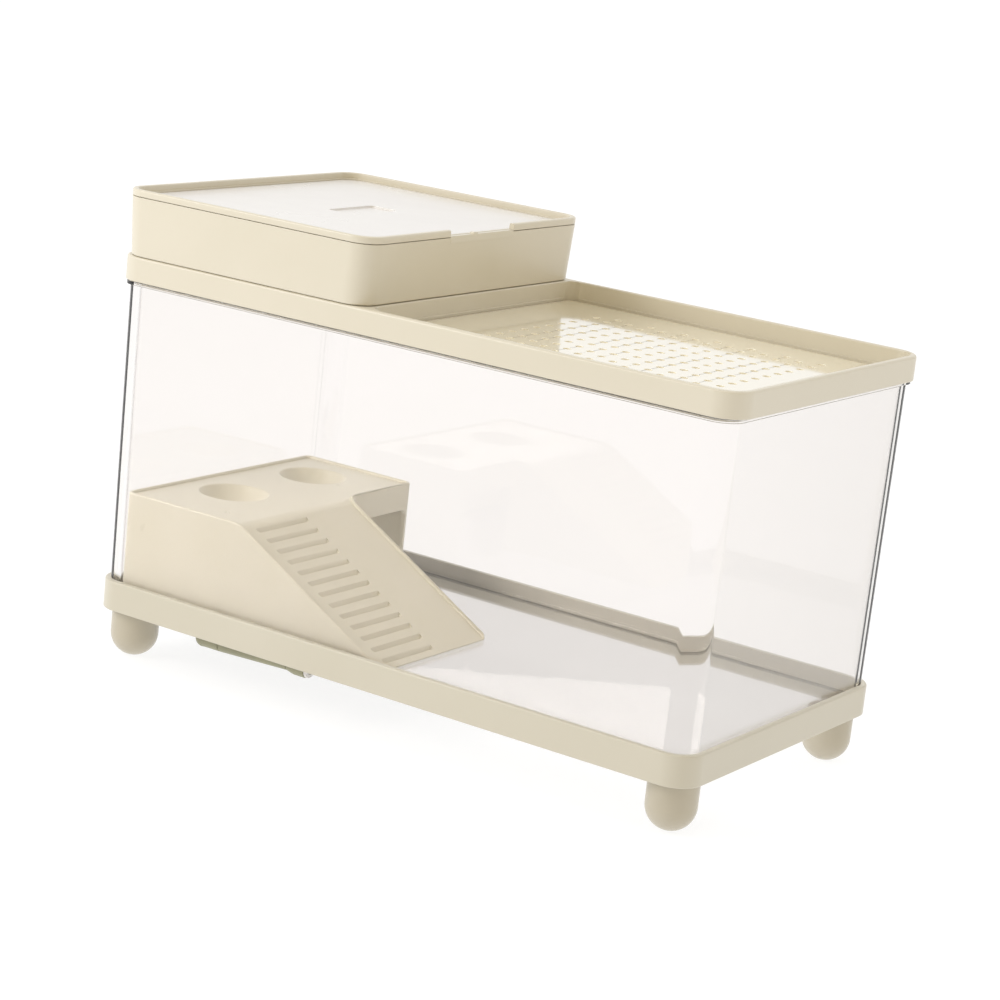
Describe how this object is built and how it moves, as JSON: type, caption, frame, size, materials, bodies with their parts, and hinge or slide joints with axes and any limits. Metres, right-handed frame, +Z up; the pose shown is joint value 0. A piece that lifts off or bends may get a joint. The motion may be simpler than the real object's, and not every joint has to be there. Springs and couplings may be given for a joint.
{
  "type": "turtle tank",
  "caption": "Clear rectangular turtle tank on a footed base, with a basking platform and ramp, a lid frame with a holed panel, a lidded filter box on top and a drain spout below.",
  "frame": {"origin": "On the ground, at the centre of the bounding box.", "axes": "+X along the tank's length with the filter box at -X, -Y is the front, +Z is up."},
  "size_m": [0.4038, 0.2096, 0.2719],
  "materials": {
    "cream_plastic": "satin moulded plastic",
    "platform_plastic": "fine satin moulded plastic",
    "clear_plastic": "clear polished acrylic",
    "white_plastic": "satin, slightly translucent",
    "fitting_plastic": "semi-gloss moulded plastic",
    "seal_rubber": "matt black rubber",
    "filter_sponge": "open-cell foam"
  },
  "bodies": {
    "base": {"base_frame": "cream_plastic", "foot_front_left": "cream_plastic", "foot_front_right": "cream_plastic", "foot_rear_left": "cream_plastic", "foot_rear_right": "cream_plastic", "tank_shell": "clear_plastic", "drain_outlet": "fitting_plastic", "drain_seal": "seal_rubber", "drain_nut": "fitting_plastic", "drain_strainer": "cream_plastic"},
    "spout": {"drain_elbow": "fitting_plastic", "drain_pipe": "fitting_plastic", "drain_nozzle": "fitting_plastic"},
    "stopper": {"drain_plug": "white_plastic"},
    "platform": {"basking_platform": "platform_plastic"},
    "lid": {"lid_frame": "cream_plastic"},
    "vent": {"vent_panel": "cream_plastic"},
    "box": {"filter_box": "cream_plastic"},
    "insert": {"drip_tray": "cream_plastic", "filter_sponge": "filter_sponge"},
    "box_rim": {"box_lid_rim": "cream_plastic"},
    "box_panel": {"box_lid_panel": "white_plastic"}
  },
  "joints": [
    {"name": "spout_swing", "type": "hinge", "parent": "base", "child": "spout", "pos_m": [-0.131, -0.0845, 0.0223], "axis": [0, 0, 1], "range_deg": [-90, 120]},
    {"name": "stopper_pull", "type": "slide", "parent": "spout", "child": "stopper", "axis": [1, 0, 0], "range_m": [0, 0.02]},
    {"name": "platform_lift", "type": "slide", "parent": "base", "child": "platform", "axis": [0, 0, 1], "range_m": [0, 0.11]},
    {"name": "lid_lift", "type": "slide", "parent": "base", "child": "lid", "axis": [0, 0, 1], "range_m": [0, 0.25]},
    {"name": "vent_lift", "type": "slide", "parent": "lid", "child": "vent", "axis": [0, 0, 1], "range_m": [0, 0.1]},
    {"name": "box_lift", "type": "slide", "parent": "lid", "child": "box", "axis": [0, 0, 1], "range_m": [0, 0.12]},
    {"name": "insert_lift", "type": "slide", "parent": "box", "child": "insert", "axis": [0, 0, 1], "range_m": [0, 0.0085]},
    {"name": "rim_lift", "type": "slide", "parent": "box", "child": "box_rim", "axis": [0, 0, 1], "range_m": [0, 0.08]},
    {"name": "panel_lift", "type": "slide", "parent": "box_rim", "child": "box_panel", "axis": [0, 0, 1], "range_m": [0, 0.06]}
  ]
}
